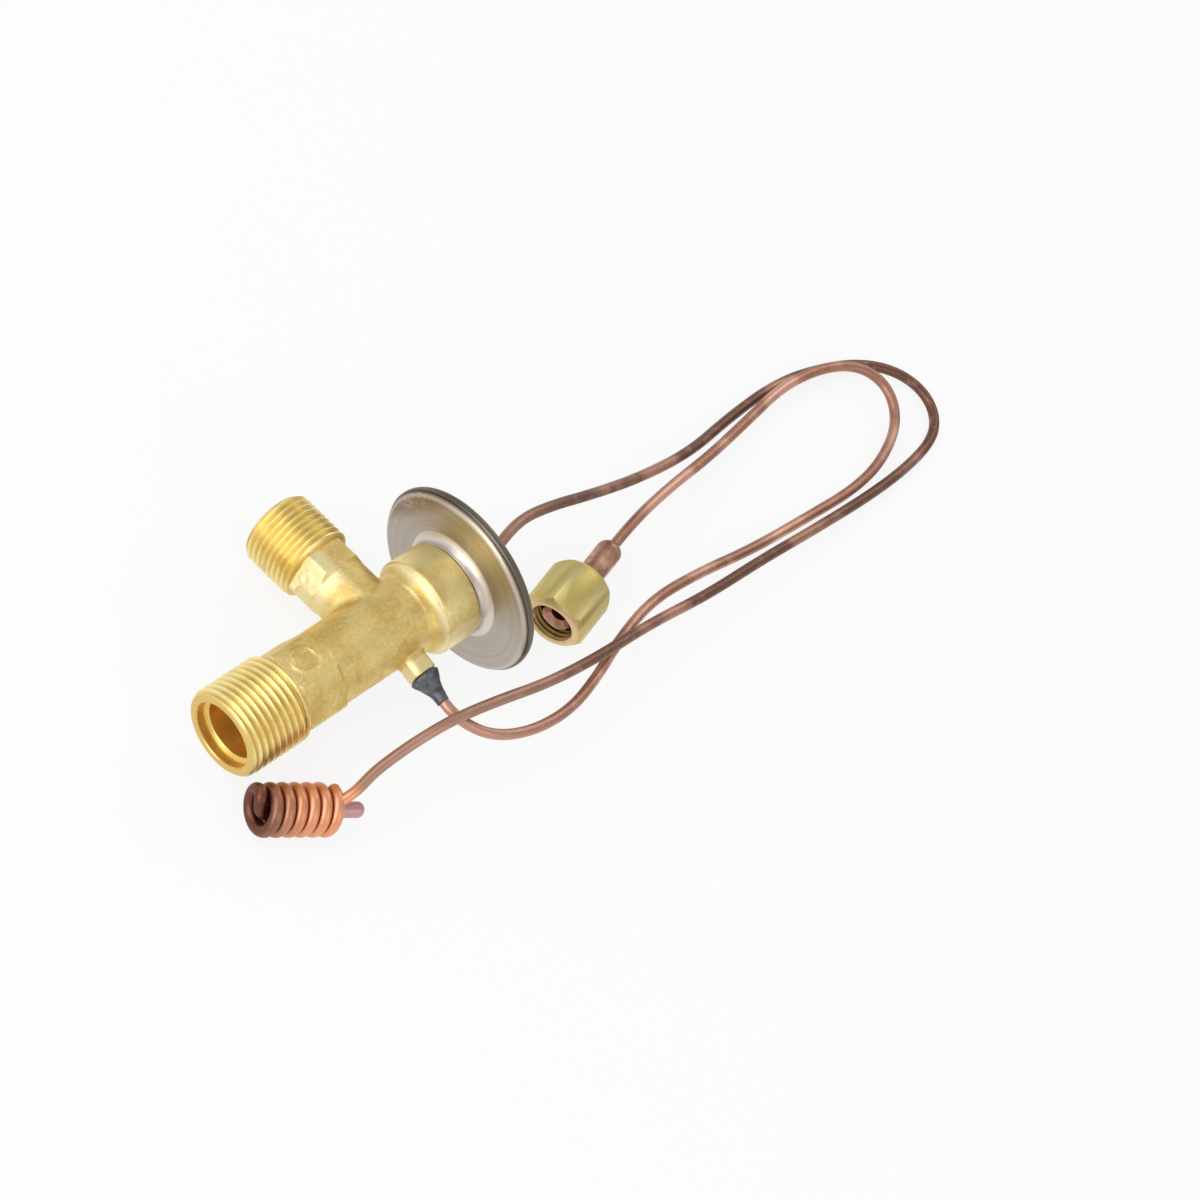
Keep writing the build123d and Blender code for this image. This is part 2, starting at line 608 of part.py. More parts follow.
pieces = {
    "valve_body": lie_down(valve_body()),
    "lower_shell": lie_down(lower_shell()),
    "upper_shell": lie_down(upper_shell()),
    "diaphragm": lie_down(diaphragm()),
    "head_gasket": lie_down(head_gasket()),
    "diaphragm_pad": lie_down(diaphragm_pad()),
    "push_rod": lie_down(push_rod()),
    "rod_seal": lie_down(rod_seal()),
    "seal_retainer": lie_down(seal_retainer()),
    "seat_insert": lie_down(seat_insert()),
    "valve_ball": lie_down(ball()),
    "ball_cup": lie_down(ball_cup()),
    "superheat_spring": lie_down(spring()),
    "adjusting_nut": lie_down(adjusting_nut()),
    "inlet_strainer": lie_down(BRANCH * inlet_strainer()),
    "strainer_ring": lie_down(BRANCH * strainer_ring()),
    "solder_collar": lie_down(BOSS * solder_collar()),
    "flare_nut": NUT_FRAME * flare_nut(),
    "flare_stub": NUT_FRAME * flare_stub(),
    "bulb_coil": COIL_FRAME * coil(),
    "coil_tip": COIL_FRAME * coil_tip(),
}
pieces["charge_line"] = line_tube(
    "charge_line", CHARGE_ROUTE, world_point(REST, NIPPLE_END, 0, 0), CHARGE_ROUTE[-1]
)
pieces["equaliser_line"] = line_tube(
    "equaliser_line", EQUALISER_ROUTE, world_point(REST * BOSS, 0, 0, COLLAR_END),
    world_point(NUT_FRAME, STUB_LENGTH, 0, 0),
)

os.makedirs("parts", exist_ok=True)
for name, shape in pieces.items():
    export_step(shape, f"parts/{name}.step")
print("tilt", round(TILT, 3), "roll", round(ROLL, 3), "axis height", round(AXIS_HEIGHT, 3))
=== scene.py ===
"""Looks of an angle expansion valve lying at rest, with its charge line and coil, equaliser line and flare nut.

Sizes in the pieces' own frames are in millimetres and are turned into metres by MM where a mesh is made.
"""
import math

import bpy
from mathutils import Matrix, Vector


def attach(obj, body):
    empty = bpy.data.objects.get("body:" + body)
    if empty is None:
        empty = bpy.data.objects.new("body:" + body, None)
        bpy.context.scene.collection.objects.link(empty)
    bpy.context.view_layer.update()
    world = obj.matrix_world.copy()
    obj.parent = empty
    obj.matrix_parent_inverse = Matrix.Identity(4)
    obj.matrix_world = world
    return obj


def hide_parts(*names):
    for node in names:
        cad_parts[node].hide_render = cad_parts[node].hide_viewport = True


bl_info = {
    "name": "Expansion valve",
    "version": (1, 0, 0),
    "blender": (4, 5, 0),
    "location": "3D View > Sidebar > Valve",
    "description": "Forged body, cut threads, steel case, capillaries and flare nut of an expansion valve",
    "category": "Object",
}

MM = 0.001
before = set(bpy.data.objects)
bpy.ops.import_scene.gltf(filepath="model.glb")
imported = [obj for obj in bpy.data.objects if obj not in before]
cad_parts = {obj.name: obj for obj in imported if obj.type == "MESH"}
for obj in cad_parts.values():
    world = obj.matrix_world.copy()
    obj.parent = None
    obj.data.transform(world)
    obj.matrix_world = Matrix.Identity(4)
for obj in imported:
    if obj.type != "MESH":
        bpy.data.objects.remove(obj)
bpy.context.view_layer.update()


def spin_about(axis, degrees):
    return Matrix.Rotation(math.radians(degrees), 4, axis)


def shift(x, y, z):
    return Matrix.Translation((x * MM, y * MM, z * MM))


# Frames of the pieces: the valve's axis is its X, and the branch, boss, nut and coil have theirs
VALVE = shift(-38.5, -7.2, 10.7331) @ spin_about("Y", -9.8118) @ spin_about("X", -16.4684)
BRANCH = VALVE @ shift(48.9, 0, 0) @ spin_about("X", -90)
BOSS = VALVE @ shift(50.2, 0, 0) @ spin_about("X", 105)
NUT = shift(61.0, -25.1, 7.1108) @ spin_about("Z", 14.9) @ spin_about("Y", -6)
COIL = shift(-31.2, -29.3, 6.35) @ spin_about("Z", -28.1)
# Turned pieces are made about Z, and this lays that axis along X
ALONG_X = spin_about("Y", 90)

OUTLET_CREST = 11.1
INLET_CREST = 9.5
BRANCH_X = 48.9

# Middle line of the capillary from the diaphragm case to the coil
CHARGE_ROUTE = [
    (38.95, -7.20, 24.13), (42.90, -7.20, 24.81), (49.0, -4.9, 25.9), (57.5, -3.2, 26.0),
    (69.0, -4.0, 24.0), (85.0, -6.0, 19.3), (106.5, -7.6, 12.4), (129.5, -7.9, 6.6),
    (151.5, -5.0, 2.2), (171.5, -3.9, 1.4), (186.5, -6.6, 1.35), (198.0, -10.6, 1.4),
    (206.2, -16.8, 1.4), (209.7, -24.2, 1.45), (208.3, -31.2, 1.5), (202.6, -36.2, 1.6),
    (190.9, -38.7, 1.9), (173.5, -39.9, 3.1),
    (149.5, -39.8, 5.2), (125.5, -39.3, 7.8), (102.5, -39.6, 10.6), (79.5, -38.4, 14.0),
    (58.5, -38.8, 17.6), (38.5, -38.0, 21.0), (21.0, -35.4, 23.2), (8.0, -33.6, 23.3),
    (-2.6, -32.8, 20.2), (-12.6, -32.8, 15.2),
]
# Middle line of the equaliser capillary from its collar to the flare stub
EQUALISER_ROUTE = [
    (10.88, -28.69, 19.84), (10.87, -31.79, 19.92), (12.6, -35.8, 19.6), (16.3, -40.0, 18.9),
    (22.9, -43.2, 17.8), (32.9, -45.1, 16.2), (44.7, -45.0, 14.5), (57.0, -42.2, 13.0),
    (71.5, -37.2, 11.7), (88.5, -33.4, 9.6), (108.5, -33.6, 6.4), (129.5, -35.4, 3.4),
    (151.5, -35.9, 1.8), (169.5, -36.4, 1.5), (182.6, -34.4, 2.2), (194.0, -28.6, 3.4),
    (198.4, -19.8, 4.2), (194.6, -11.6, 4.6), (184.0, -7.0, 4.6), (169.0, -5.8, 4.6),
    (151.5, -8.6, 5.0), (132.5, -11.4, 7.6), (114.5, -13.0, 10.8), (98.10, -15.23, 11.15),
    (88.49, -17.79, 10.10),
]


# Coil, in its own frame: the line's last points, the angle and place where the turns begin, and the end of its
# tube, which crosses the open end and goes back into the core, as (along the axis, up, across)
LINE_END = ((13.7, 2.0, 7.1), (11.6, 0.7, 6.2), (10.2, 0.1, 5.2), (9.4, -0.5, 4.7))
COIL_BEGIN = -45
COIL_START = 9.25
COIL_HOOK = (
    (-9.35, 4.35, 1.7), (-9.5, 2.9, 2.3), (-9.3, 1.2, 1.5), (-8.6, -0.3, 0.5), (-7.2, -0.9, 0.0),
    (-5.4, -0.3, 0.0),
)
CORE_START = -6.2
CORE_END = 17.8


def ink(red, green, blue):
    """A colour as it is seen, 0 to 255, in the linear values that shaders take."""
    def linear(channel):
        share = channel / 255
        return share / 12.92 if share <= 0.04045 else ((share + 0.055) / 1.055) ** 2.4

    return tuple(linear(channel) for channel in (red, green, blue))


# ---- Sizes and colours that a user may change


def colour_field(name, description, default):
    return bpy.props.FloatVectorProperty(
        name=name, description=description, subtype="COLOR", size=3, min=0, max=1, default=default
    )


def length_field(name, description, default):
    return bpy.props.FloatProperty(
        name=name, description=description, default=default * MM, min=0, unit="LENGTH", subtype="DISTANCE",
        precision=5,
    )


def power_field(name, description, default):
    return bpy.props.FloatProperty(name=name, description=description, default=default, min=0, unit="POWER")


class ValveBrassSettings(bpy.types.PropertyGroup):
    forged: colour_field("Forged", "Colour of the forged skin", ink(234, 210, 138))
    forged_warm: colour_field("Forged, warm", "Warmer patches of the forged skin", ink(216, 182, 104))
    # forged_pale is also the colour of the painted highlights on the shoulder, neck and boss
    forged_pale: colour_field("Forged, pale", "Rubbed and paler patches", ink(250, 238, 188))
    # crest paints highlights on the thread crests; groove paints shade in the thread grooves and in the neck's corner,
    # and darkens the forging's pits
    crest: colour_field("Thread crest", "Colour of the bright cut crests", ink(252, 236, 168))
    groove: colour_field("Thread groove", "Colour down in the cut grooves", ink(230, 198, 118))
    bore: colour_field("Bore", "Colour of the unpolished bores", ink(244, 204, 122))
    head: colour_field("Head", "Colour of the turned head", ink(242, 222, 152))
    nut: colour_field("Flare nut", "Colour of the flare nut", ink(206, 190, 118))
    voxel: length_field("Forging detail", "Size of the voxels that soften the forging", 0.27)
    dents: length_field("Forging unevenness", "Height of the unevenness of the forged skin", 0.16)
    outlet_pitch: length_field("Outlet pitch", "Pitch of the outlet thread", 1.814)
    inlet_pitch: length_field("Inlet pitch", "Pitch of the inlet thread", 1.5875)
    nut_pitch: length_field("Nut pitch", "Pitch of the thread in the flare nut", 1.27)


class ValveSteelSettings(bpy.types.PropertyGroup):
    case: colour_field("Case", "Colour of the pressed steel case", ink(192, 184, 174))
    stain: colour_field("Case stain", "Colour of the tan stain on the case", ink(182, 164, 130))
    inner: colour_field("Inner steel", "Colour of the steel parts inside", ink(190, 190, 190))
    solder: colour_field("Solder", "Colour of the dull solder collar", ink(112, 116, 122))


class ValveCopperSettings(bpy.types.PropertyGroup):
    line: colour_field("Line", "Usual colour of the capillaries", ink(172, 126, 106))
    line_dark: colour_field("Line, dark", "Darker, handled stretches of the capillaries", ink(120, 88, 74))
    line_light: colour_field("Line, light", "Lighter, brighter stretches of the capillaries", ink(224, 178, 156))
    coil_dark: colour_field("Coil, dark", "Open end of the coil", ink(128, 88, 76))
    coil_light: colour_field("Coil, light", "Bright end of the coil", ink(238, 168, 128))
    diameter: length_field("Capillary", "Outer diameter of both capillaries", 2.6)
    coil_tube: length_field("Coil tube", "Outer diameter of the coil's tube", 3.04)
    coil_radius: length_field("Coil radius", "Radius of the coil's middle line", 4.83)
    coil_pitch: length_field("Coil pitch", "Distance between the coil's turns", 3.1)
    coil_turns: bpy.props.FloatProperty(
        name="Coil turns", description="Turns in the coil", default=5.95, min=1
    )
    core: length_field("Core", "Radius of the rod in the middle of the coil", 1.88)


class ValveStageSettings(bpy.types.PropertyGroup):
    floor: bpy.props.FloatProperty(
        name="Floor", description="Side of the square floor", default=4.0, min=1, unit="LENGTH"
    )
    lens: bpy.props.FloatProperty(
        name="Lens", description="Focal length in millimetres", default=180, min=10, subtype="DISTANCE_CAMERA"
    )
    key: power_field("Key light", "Power of the key light", 3.2)
    fill: power_field("Fill light", "Power of the fill light", 2.4)
    rim: power_field("Back light", "Power of the back light", 1.6)
    side: power_field("Side light", "Power of the low light on the outlet's side", 6.5)
    sky: bpy.props.FloatProperty(name="Sky", description="Strength of the even light", default=0.76, min=0)


# ---- Materials


class Value:
    """One output in a material; each sum written with it adds its Math nodes."""

    def __init__(self, finish, socket):
        self.finish = finish
        self.socket = socket

    def worked(self, operation, *terms):
        return self.finish.node("ShaderNodeMath", {"operation": operation}, dict(enumerate(terms)))

    def __add__(self, other):
        return self.worked("ADD", self, other)

    __radd__ = __add__

    def __sub__(self, other):
        return self.worked("SUBTRACT", self, other)

    def __rsub__(self, other):
        return self.worked("SUBTRACT", other, self)

    def __mul__(self, other):
        return self.worked("MULTIPLY", self, other)

    __rmul__ = __mul__

    def __truediv__(self, other):
        return self.worked("DIVIDE", self, other)

    def __rtruediv__(self, other):
        return self.worked("DIVIDE", other, self)

    def __pow__(self, power):
        return self.worked("POWER", self, power)

    def rising(self, low, high):
        """0 below low, 1 above high, and a smooth rise between them."""
        return self.finish.node(
            "ShaderNodeMapRange", {"interpolation_type": "SMOOTHSTEP"},
            {"Value": self, "From Min": low, "From Max": high},
        )

    def falling(self, low, high):
        return 1 - self.rising(low, high)

    def larger(self, other):
        return self.worked("MAXIMUM", self, other)

    def waving(self, count):
        """Sine of count times this value."""
        return self.worked("SINE", self * count)


class Finish:
    """One procedural material: a Principled shader and the nodes that feed it."""

    def __init__(self, name, metallic=1.0):
        self.material = bpy.data.materials.new(name)
        self.material.use_nodes = True
        self.tree = self.material.node_tree
        self.tree.nodes.clear()
        output = self.tree.nodes.new("ShaderNodeOutputMaterial")
        self.shader = self.tree.nodes.new("ShaderNodeBsdfPrincipled")
        self.tree.links.new(self.shader.outputs[0], output.inputs["Surface"])
        self.shader.inputs["Metallic"].default_value = metallic

    def node(self, kind, settings=None, inputs=None, output=0):
        """Any node: its settings come first, then the values or links of its sockets."""
        made = self.tree.nodes.new(kind)
        for name, setting in (settings or {}).items():
            setattr(made, name, setting)
        for name, value in (inputs or {}).items():
            self.feed(made.inputs[name], value)
        return Value(self, made.outputs[output])

    def feed(self, socket, value):
        if isinstance(value, Value):
            self.tree.links.new(value.socket, socket)
        elif isinstance(value, tuple) and socket.type == "RGBA" and len(value) == 3:
            socket.default_value = (*value, 1)
        else:
            socket.default_value = value

    def placed(self, place):
        """Where a point is in a piece's own frame, in millimetres: the vector and its three parts."""
        spot = self.node("ShaderNodeTexCoord", output="Object")
        own = self.node(
            "ShaderNodeMapping", {"vector_type": "TEXTURE"},
            {
                "Vector": spot, "Location": tuple(place.translation), "Rotation": tuple(place.to_euler()),
                "Scale": (MM, MM, MM),
            },
        )
        return own, *(self.node("ShaderNodeSeparateXYZ", None, {0: own}, axis) for axis in range(3))

    def vector(self, x, y, z):
        return self.node("ShaderNodeCombineXYZ", None, {0: x, 1: y, 2: z})

    def noise(self, vector, scale, detail=3.0, roughness=0.55):
        """Soft random values; scale is in patches per millimetre where the vector is in millimetres."""
        return self.node(
            "ShaderNodeTexNoise", None,
            {"Vector": vector, "Scale": scale, "Detail": detail, "Roughness": roughness},
        )

    def mixed(self, share, first, second):
        return self.node("ShaderNodeMix", {"data_type": "RGBA"}, {0: share, 6: first, 7: second}, 2)

    def bump(self, height, depth):
        """Relief of the given depth in millimetres, from heights between 0 and 1."""
        normal = self.node("ShaderNodeBump", None, {"Strength": 1.0, "Distance": depth * MM, "Height": height})
        self.feed(self.shader.inputs["Normal"], normal)

    def colour(self, value):
        self.feed(self.shader.inputs["Base Color"], value)

    def roughness(self, value):
        self.feed(self.shader.inputs["Roughness"], value)


def colour_of(field):
    return tuple(field)


def forged_brass(brass):
    """Skin of the forging: patches, fine pits, painted highlights on the shoulder, neck and boss, painted shade in the
    corner by the neck; turned head and darker bores.
    """
    paint = Finish("forged_brass")
    spot, x, y, z = paint.placed(VALVE)
    radius = (y * y + z * z) ** 0.5
    from_branch = ((x - BRANCH_X) * (x - BRANCH_X) + z * z) ** 0.5
    patches = paint.noise(spot, 0.14, 4, 0.6)
    pits = paint.noise(spot, 1.5, 4, 0.62)
    grain = paint.noise(spot, 5.0, 2, 0.5)
    skin = paint.mixed(patches.rising(0.35, 0.68), colour_of(brass.forged), colour_of(brass.forged_warm))
    skin = paint.mixed(pits.rising(0.48, 0.75) * 0.55, skin, colour_of(brass.forged_pale))
    skin = paint.mixed(pits.falling(0.25, 0.42) * 0.45, skin, colour_of(brass.groove))
    turned = x.rising(59.2, 59.8)
    rings = paint.noise(paint.vector(x * 3.0, 0.0, 0.0), 1.6, 3, 0.7)
    head = paint.mixed(rings.rising(0.3, 0.75) * 0.5, colour_of(brass.head), colour_of(brass.forged_pale))
    head = paint.mixed(patches.rising(0.45, 0.7) * 0.6, head, colour_of(brass.forged_warm))
    skin = paint.mixed(turned, skin, head)
    # Painted highlights: the pale colour lightens the shoulder's bevel, the neck's flat and the boss's corner where
    # light falls on them
    shoulder = x.rising(54.0, 55.4) * x.falling(58.8, 59.4) * radius.rising(10.0, 11.2)
    neck = y.rising(10.5, 13.5) * x.falling(BRANCH_X - 2.5, BRANCH_X)
    boss = (y * -0.966 - z * 0.259).rising(9.8, 10.6)
    painted_highlight = (shoulder * 1.25).larger(neck).larger(boss) * pits.rising(0.15, 0.5) * 0.72
    skin = paint.mixed(painted_highlight, skin, colour_of(brass.forged_pale))
    branch_bore = from_branch.falling(6.5, 6.9) * y.rising(8.5, 9.5)
    skin = paint.mixed(radius.falling(7.25, 7.6).larger(branch_bore), skin, colour_of(brass.bore))
    # Painted shade: the groove colour darkens the corner where the branch's neck meets the barrel, on the head's side
    painted_crease_shade = from_branch.falling(8.6, 9.8) * y.falling(9.0, 11.5) * x.rising(53.0, 56.5)
    skin = paint.mixed(painted_crease_shade * 0.7, skin, colour_of(brass.groove))
    paint.colour(skin)
    paint.roughness(0.34 + patches * 0.12 + pits * 0.14 - turned * 0.06)
    paint.bump(pits * 0.6 + grain * 0.25 * (1 - turned) + rings * 0.12 * turned, 0.12)
    return paint.material


def cut_brass(name, brass, place, root, crest, bore, step):
    """Machined thread end: painted highlight on the crests, painted shade down in the grooves, and deeper colour in
    the bore.
    """
    paint = Finish(name)
    spot, x, y, z = paint.placed(place)
    radius = (x * x + y * y) ** 0.5
    patches = paint.noise(spot, 0.22, 3, 0.6)
    specks = paint.noise(spot, 3.2, 3, 0.6)
    lines = paint.noise(paint.vector(z * 5.0, radius * 5.0, patches), 1.0, 3, 0.7)
    # Painted light: the crest colour lights the crests and the groove colour shades the grooves, by radius
    height = radius.rising(root - 0.05, crest - 0.05)
    metal = paint.mixed(height, colour_of(brass.groove), colour_of(brass.crest))
    metal = paint.mixed(patches.rising(0.5, 0.75) * 0.5, metal, colour_of(brass.forged_warm))
    metal = paint.mixed(specks.rising(0.62, 0.78) * (1 - height) * 0.7, metal, ink(92, 66, 20))
    metal = paint.mixed(radius.falling(bore - 0.1, bore + 0.2), metal, colour_of(brass.bore))
    at_step = z.rising(step - 0.25, step - 0.1) * z.falling(step + 0.1, step + 0.25)
    metal = paint.mixed(at_step * radius.rising(bore - 0.95, bore - 0.85), metal, colour_of(brass.crest))
    paint.colour(metal)
    paint.roughness(0.24 + patches * 0.12 + lines * 0.1 + (1 - height) * 0.08)
    paint.bump(lines * 0.7 + specks * 0.3, 0.035)
    return paint.material


def nut_brass(brass):
    """Slightly green brass of the flare nut, with tool marks and handled edges."""
    paint = Finish("nut_brass")
    spot, x, y, z = paint.placed(NUT)
    radius = (y * y + z * z) ** 0.5
    patches = paint.noise(spot, 0.25, 4, 0.6)
    marks = paint.noise(paint.vector(x * 0.8, y * 4.0, z * 4.0), 1.0, 3, 0.65)
    turned = paint.noise(paint.vector(x * 6.0, radius * 6.0, 0.0), 1.0, 2, 0.6)
    metal = paint.mixed(patches.rising(0.35, 0.7) * 0.4, colour_of(brass.nut), colour_of(brass.forged_warm))
    metal = paint.mixed(radius.rising(7.3, 8.1) * 0.35, metal, colour_of(brass.forged_pale))
    metal = paint.mixed(x.falling(0.3, 1.3) * radius.falling(7.2, 7.6) * 0.8, metal, ink(236, 206, 160))
    # Painted shade: dark brown inside the nut's threaded bore
    metal = paint.mixed(radius.falling(4.9, 5.7), metal, ink(128, 84, 52))
    paint.colour(metal)
    paint.roughness(0.36 + patches * 0.12 + marks * 0.08)
    paint.bump(marks * 0.5 + turned * 0.5, 0.04)
    return paint.material


def case_steel(steel):
    """Satin pressed steel: fine turned rings, tan and brown where it was heated, painted highlights on the hub's flare
    and along the seam, and a rolled rim darkened partly by stain and partly as painted shade.
    """
    paint = Finish("case_steel")
    spot, x, y, z = paint.placed(VALVE)
    radius = (y * y + z * z) ** 0.5
    cloud = paint.noise(spot, 0.11, 4, 0.6)
    scuffs = paint.noise(spot, 1.3, 4, 0.65)
    rings = paint.noise(paint.vector(radius * 1.6, x * 0.6, cloud), 1.0, 3, 0.6)
    heated = (z * 0.9 - y * 0.25).rising(1.0, 17.0) * (cloud + radius * 0.02).rising(0.5, 0.86)
    metal = paint.mixed(heated * 0.5, colour_of(steel.case), colour_of(steel.stain))
    blotch = (y * 0.8 + z * 0.6).rising(16.5, 20.5) * (scuffs + cloud).rising(0.7, 1.0)
    metal = paint.mixed(blotch * 0.7, metal, ink(146, 112, 84))
    metal = paint.mixed(rings.rising(0.4, 0.75) * 0.2, metal, ink(130, 122, 110))
    # Painted highlight: a pale ring on the flare around the hub
    flare = radius.falling(13.3, 13.9) * radius.rising(11.2, 12.4)
    metal = paint.mixed(flare * 0.75, metal, ink(240, 228, 218))
    metal = paint.mixed(scuffs.rising(0.62, 0.8) * 0.35, metal, ink(118, 100, 84))
    # Painted highlight: a pale line along the rolled rim by the seam
    painted_rim_highlight = radius.rising(21.9, 22.2) * radius.falling(22.6, 22.9)
    metal = paint.mixed(painted_rim_highlight * 0.35, metal, ink(222, 214, 202))
    # Dark rolled rim: partly a brown stain, partly painted shade along its edge and the crease between the shells
    metal = paint.mixed(radius.rising(22.8, 23.1) * 0.85, metal, ink(98, 88, 80))
    paint.colour(metal)
    paint.roughness(0.3 + cloud * 0.16 + rings * 0.08)
    paint.bump(rings * 0.5 + scuffs * 0.5, 0.025)
    return paint.material


def capillary_copper(name, copper, browned):
    """Drawn copper browned by handling; the coil runs from dark at its open end to bright at the other."""
    paint = Finish(name)
    spot, x, y, z = paint.placed(COIL)
    from_axis = (y * y + z * z) ** 0.5
    at_coil = from_axis.falling(7.4, 9.5) * x.falling(12.0, 15.0) * x.rising(-14.5, -12.5)
    slow = paint.noise(spot, 0.045, 3, 0.55)
    patches = paint.noise(spot, 0.3, 4, 0.6)
    specks = paint.noise(spot, 2.4, 3, 0.6)
    dark = slow.rising(0.66 - browned * 0.45, 0.84 - browned * 0.45)
    line = paint.mixed(dark, colour_of(copper.line), colour_of(copper.line_dark))
    brighter = (slow.falling(0.35, 0.5) * (1 - browned)).larger(x.falling(45.0, 90.0) * 0.5)
    line = paint.mixed(brighter, line, colour_of(copper.line_light))
    line = paint.mixed(patches.rising(0.5, 0.75) * 0.3, line, colour_of(copper.line_light))
    turns = paint.mixed((x + patches * 6).rising(-9.0, 6.0), colour_of(copper.coil_dark), colour_of(copper.coil_light))
    # Painted shade: darker on the inner side of the turns and on the hook and core inside the coil
    turns = paint.mixed(from_axis.falling(5.0, 6.0) * 0.6, turns, ink(104, 60, 48))
    metal = paint.mixed(at_coil, line, turns)
    metal = paint.mixed(specks.rising(0.62, 0.8) * 0.3, metal, ink(96, 64, 54))
    metal = paint.mixed(x.rising(10.0, 11.5) * from_axis.falling(2.2, 2.6), metal, ink(204, 160, 158))
    paint.colour(metal)
    paint.roughness(0.36 + patches * 0.18)
    paint.bump(specks * 0.3 + patches * 0.7, 0.04)
    return paint.material


def stub_copper(copper):
    """Tube end: orange copper with heat bands near the swaged end."""
    paint = Finish("stub_copper")
    spot, x, y, z = paint.placed(NUT)
    patches = paint.noise(spot, 0.3, 4, 0.6)
    drawn = paint.noise(paint.vector(x * 0.25, y * 4.0, z * 4.0), 1.0, 3, 0.6)
    metal = paint.mixed(patches.rising(0.35, 0.7), colour_of(copper.line), colour_of(copper.line_light))
    metal = paint.mixed(x.rising(24.0, 28.0) * 0.6, metal, colour_of(copper.line_dark))
    paint.colour(metal)
    paint.roughness(0.28 + patches * 0.16)
    paint.bump(drawn * 0.6 + patches * 0.4, 0.04)
    return paint.material


def dull_solder(steel):
    """Oxidised solder: dark grey, uneven and a little shiny."""
    paint = Finish("dull_solder", metallic=0.75)
    spot, x, y, z = paint.placed(BOSS)
    patches = paint.noise(spot, 0.5, 4, 0.6)
    grain = paint.noise(spot, 3.0, 3, 0.6)
    metal = paint.mixed(patches.rising(0.3, 0.7), colour_of(steel.solder), ink(74, 76, 80))
    metal = paint.mixed(grain.rising(0.58, 0.8) * 0.5, metal, ink(168, 170, 174))
    paint.colour(metal)
    paint.roughness(0.42 + patches * 0.16)
    paint.bump(patches * 0.6 + grain * 0.4, 0.12)
    return paint.material


def turned_metal(name, base, mark, roughness=0.3, place=VALVE):
    """Plain turned metal inside the valve: rings from the tool and faint patches."""
    paint = Finish(name)
    spot, x, y, z = paint.placed(place)
    radius = (y * y + z * z) ** 0.5
    rings = paint.noise(paint.vector(x * 5.0, radius * 5.0, 0.0), 1.0, 3, 0.7)
    patches = paint.noise(spot, 0.4, 3, 0.6)
    metal = paint.mixed(rings.rising(0.35, 0.7) * 0.5, base, mark)
    metal = paint.mixed(patches.rising(0.5, 0.75) * 0.4, metal, mark)
    paint.colour(metal)
    paint.roughness(roughness + rings * 0.12 + patches * 0.06)
    paint.bump(rings, 0.02)
    return paint.material


def soft_part(name, base, mark, roughness):
    """Rubber and pressed fibre: no metal, with a fine speckle."""
    paint = Finish(name, metallic=0.0)
    spot, x, y, z = paint.placed(VALVE)
    speckle = paint.noise(spot, 4.0, 3, 0.6)
    cloud = paint.noise(spot, 0.5, 3, 0.6)
    paint.colour(paint.mixed(speckle.rising(0.45, 0.7) * 0.6, base, mark))
    paint.roughness(roughness + cloud * 0.15)
    paint.bump(speckle, 0.04)
    return paint.material


def woven_mesh(steel):
    """Fine woven strainer cloth, drawn as crossing wires about the branch axis."""
    paint = Finish("woven_mesh")
    spot, x, y, z = paint.placed(BRANCH)
    weave = y.worked("ARCTAN2", y, x).waving(44.0) * z.waving(8.0) * 0.5 + 0.5
    paint.colour(paint.mixed(weave, ink(70, 68, 64), colour_of(steel.inner)))
    paint.roughness(0.36 + weave * 0.1)
    paint.bump(weave, 0.12)
    return paint.material


def pale_ground():
    """White ground that keeps the object's shadow."""
    paint = Finish("pale_ground", metallic=0.0)
    spot = paint.node("ShaderNodeTexCoord", output="Object")
    grain = paint.noise(spot, 40.0, 2, 0.5)
    paint.colour(paint.mixed(grain * 0.3, (0.86, 0.86, 0.86), (0.9, 0.9, 0.9)))
    paint.roughness(0.85)
    seen = paint.node("ShaderNodeLightPath", output="Is Camera Ray")
    mirrored = paint.node("ShaderNodeLightPath", output="Is Glossy Ray")
    glow = paint.node("ShaderNodeEmission", None, {"Color": (1, 1, 1, 1), "Strength": 1.0})
    share = (seen * 0.85).larger(mirrored * 0.75)
    surface = paint.node(
        "ShaderNodeMixShader", None, {0: share, 1: Value(paint, paint.shader.outputs[0]), 2: glow}
    )
    ending = next(node for node in paint.tree.nodes if node.type == "OUTPUT_MATERIAL")
    paint.feed(ending.inputs["Surface"], surface)
    return paint.material


def dress(piece, material):
    piece.data.materials.clear()
    piece.data.materials.append(material)


# ---- Modelling by operators


def clear_selection():
    if bpy.context.mode != "OBJECT":
        bpy.ops.object.mode_set(mode="OBJECT")
    bpy.ops.object.select_all(action="DESELECT")


def work_on(piece):
    clear_selection()
    piece.select_set(True)
    bpy.context.view_layer.objects.active = piece


def edit_all(piece):
    work_on(piece)
    bpy.ops.object.mode_set(mode="EDIT")
    bpy.ops.mesh.select_all(action="SELECT")


def leave_edit():
    bpy.ops.object.mode_set(mode="OBJECT")


def modified(piece, kind, **settings):
    """One modifier, set and applied."""
    work_on(piece)
    bpy.ops.object.modifier_add(type=kind)
    modifier = piece.modifiers[-1]
    for name, setting in settings.items():
        setattr(modifier, name, setting)
    bpy.ops.object.modifier_apply(modifier=modifier.name)


